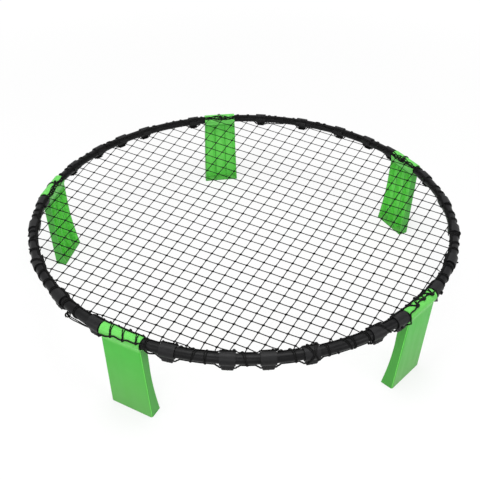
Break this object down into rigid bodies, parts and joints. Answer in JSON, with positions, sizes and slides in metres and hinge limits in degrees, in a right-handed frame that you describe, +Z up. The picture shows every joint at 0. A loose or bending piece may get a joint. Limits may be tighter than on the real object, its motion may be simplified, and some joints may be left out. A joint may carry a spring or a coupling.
{
  "type": "roundnet set",
  "caption": "Round game net drawn inside a bent-tube rim with clip hooks, standing on moulded legs that fold in under the net.",
  "frame": {"origin": "on the floor, below the centre of the ring", "axes": "+Z up along the ring's axis; +Y away from the picture's viewer, +X to their right"},
  "size_m": [0.9265, 0.9267, 0.2023],
  "materials": {
    "rim_plastic": "black moulded tube, satin",
    "leg_plastic": "bright green moulded plastic, satin",
    "hook_plastic": "black moulded plastic, fine texture",
    "net_cord": "black knotted cord"
  },
  "bodies": {
    "ring": {"rim_tube_1": "rim_plastic", "rim_tube_2": "rim_plastic", "rim_tube_3": "rim_plastic", "rim_tube_4": "rim_plastic", "rim_tube_5": "rim_plastic", "hook_1_1": "hook_plastic", "hook_1_2": "hook_plastic", "hook_1_3": "hook_plastic", "hook_1_4": "hook_plastic", "hook_1_5": "hook_plastic", "hook_2_1": "hook_plastic", "hook_2_2": "hook_plastic", "hook_2_3": "hook_plastic", "hook_2_4": "hook_plastic", "hook_2_5": "hook_plastic", "hook_3_1": "hook_plastic", "hook_3_2": "hook_plastic", "hook_3_3": "hook_plastic", "hook_3_4": "hook_plastic", "hook_3_5": "hook_plastic", "hook_4_1": "hook_plastic", "hook_4_2": "hook_plastic", "hook_4_3": "hook_plastic", "hook_4_4": "hook_plastic", "hook_4_5": "hook_plastic", "hook_4_6": "hook_plastic", "hook_5_1": "hook_plastic", "hook_5_2": "hook_plastic", "hook_5_3": "hook_plastic", "hook_5_4": "hook_plastic", "hook_5_5": "hook_plastic", "net": "net_cord", "edge_cord": "net_cord"},
    "leg_1_body": {"leg_1": "leg_plastic"},
    "leg_2_body": {"leg_2": "leg_plastic"},
    "leg_3_body": {"leg_3": "leg_plastic"},
    "leg_4_body": {"leg_4": "leg_plastic"},
    "leg_5_body": {"leg_5": "leg_plastic"}
  },
  "joints": [
    {"name": "leg_1_fold", "type": "hinge", "parent": "ring", "child": "leg_1_body", "pos_m": [0.40083, 0.20247, 0.186], "axis": [-0.4509, 0.8926, 0], "range_deg": [0, 85]},
    {"name": "leg_2_fold", "type": "hinge", "parent": "ring", "child": "leg_2_body", "pos_m": [-0.0687, 0.44378, 0.186], "axis": [-0.9882, -0.153, 0], "range_deg": [0, 85]},
    {"name": "leg_3_fold", "type": "hinge", "parent": "ring", "child": "leg_3_body", "pos_m": [-0.44329, 0.0718, 0.186], "axis": [-0.1599, -0.9871, 0], "range_deg": [0, 85]},
    {"name": "leg_4_fold", "type": "hinge", "parent": "ring", "child": "leg_4_body", "pos_m": [-0.20527, -0.39941, 0.186], "axis": [0.8894, -0.4571, 0], "range_deg": [0, 85]},
    {"name": "leg_5_fold", "type": "hinge", "parent": "ring", "child": "leg_5_body", "pos_m": [0.31643, -0.31864, 0.186], "axis": [0.7096, 0.7046, 0], "range_deg": [0, 85]}
  ]
}
